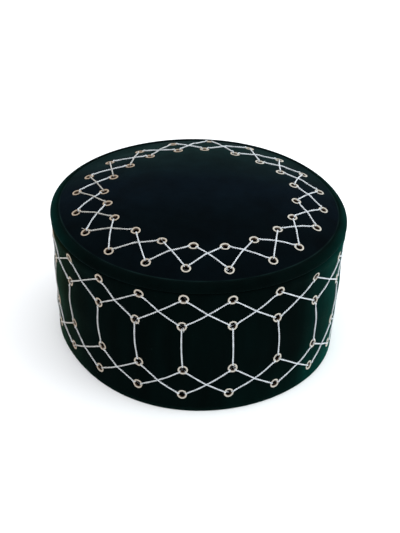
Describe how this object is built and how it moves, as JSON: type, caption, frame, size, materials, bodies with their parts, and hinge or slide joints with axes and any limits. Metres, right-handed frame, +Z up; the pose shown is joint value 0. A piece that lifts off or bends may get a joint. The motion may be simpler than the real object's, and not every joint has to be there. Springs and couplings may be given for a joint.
{
  "type": "sufi cap",
  "caption": "Round brimless cap with a slightly domed crown, a rolled crown edge and an upright side band, both pierced by rows of small eyelets.",
  "frame": {"origin": "on the ground under the middle of the cap, at the centre of the hem", "axes": "+Z up out of the crown, -Y the front of the cap, +X its right as seen from the front"},
  "size_m": [0.1858, 0.192, 0.1012],
  "materials": {
    "crown_velvet": "blue-black cotton velvet, matt with a soft sheen at grazing angles",
    "band_velvet": "dark bottle-green cotton velvet, matt with a green sheen at grazing angles",
    "silver_thread": "twisted silver-white embroidery thread with a soft gloss",
    "cream_thread": "close overstitching in cream thread with a soft gloss"
  },
  "bodies": {
    "root": {"crown_top": "crown_velvet", "side_band": "band_velvet"}
  },
  "joints": []
}
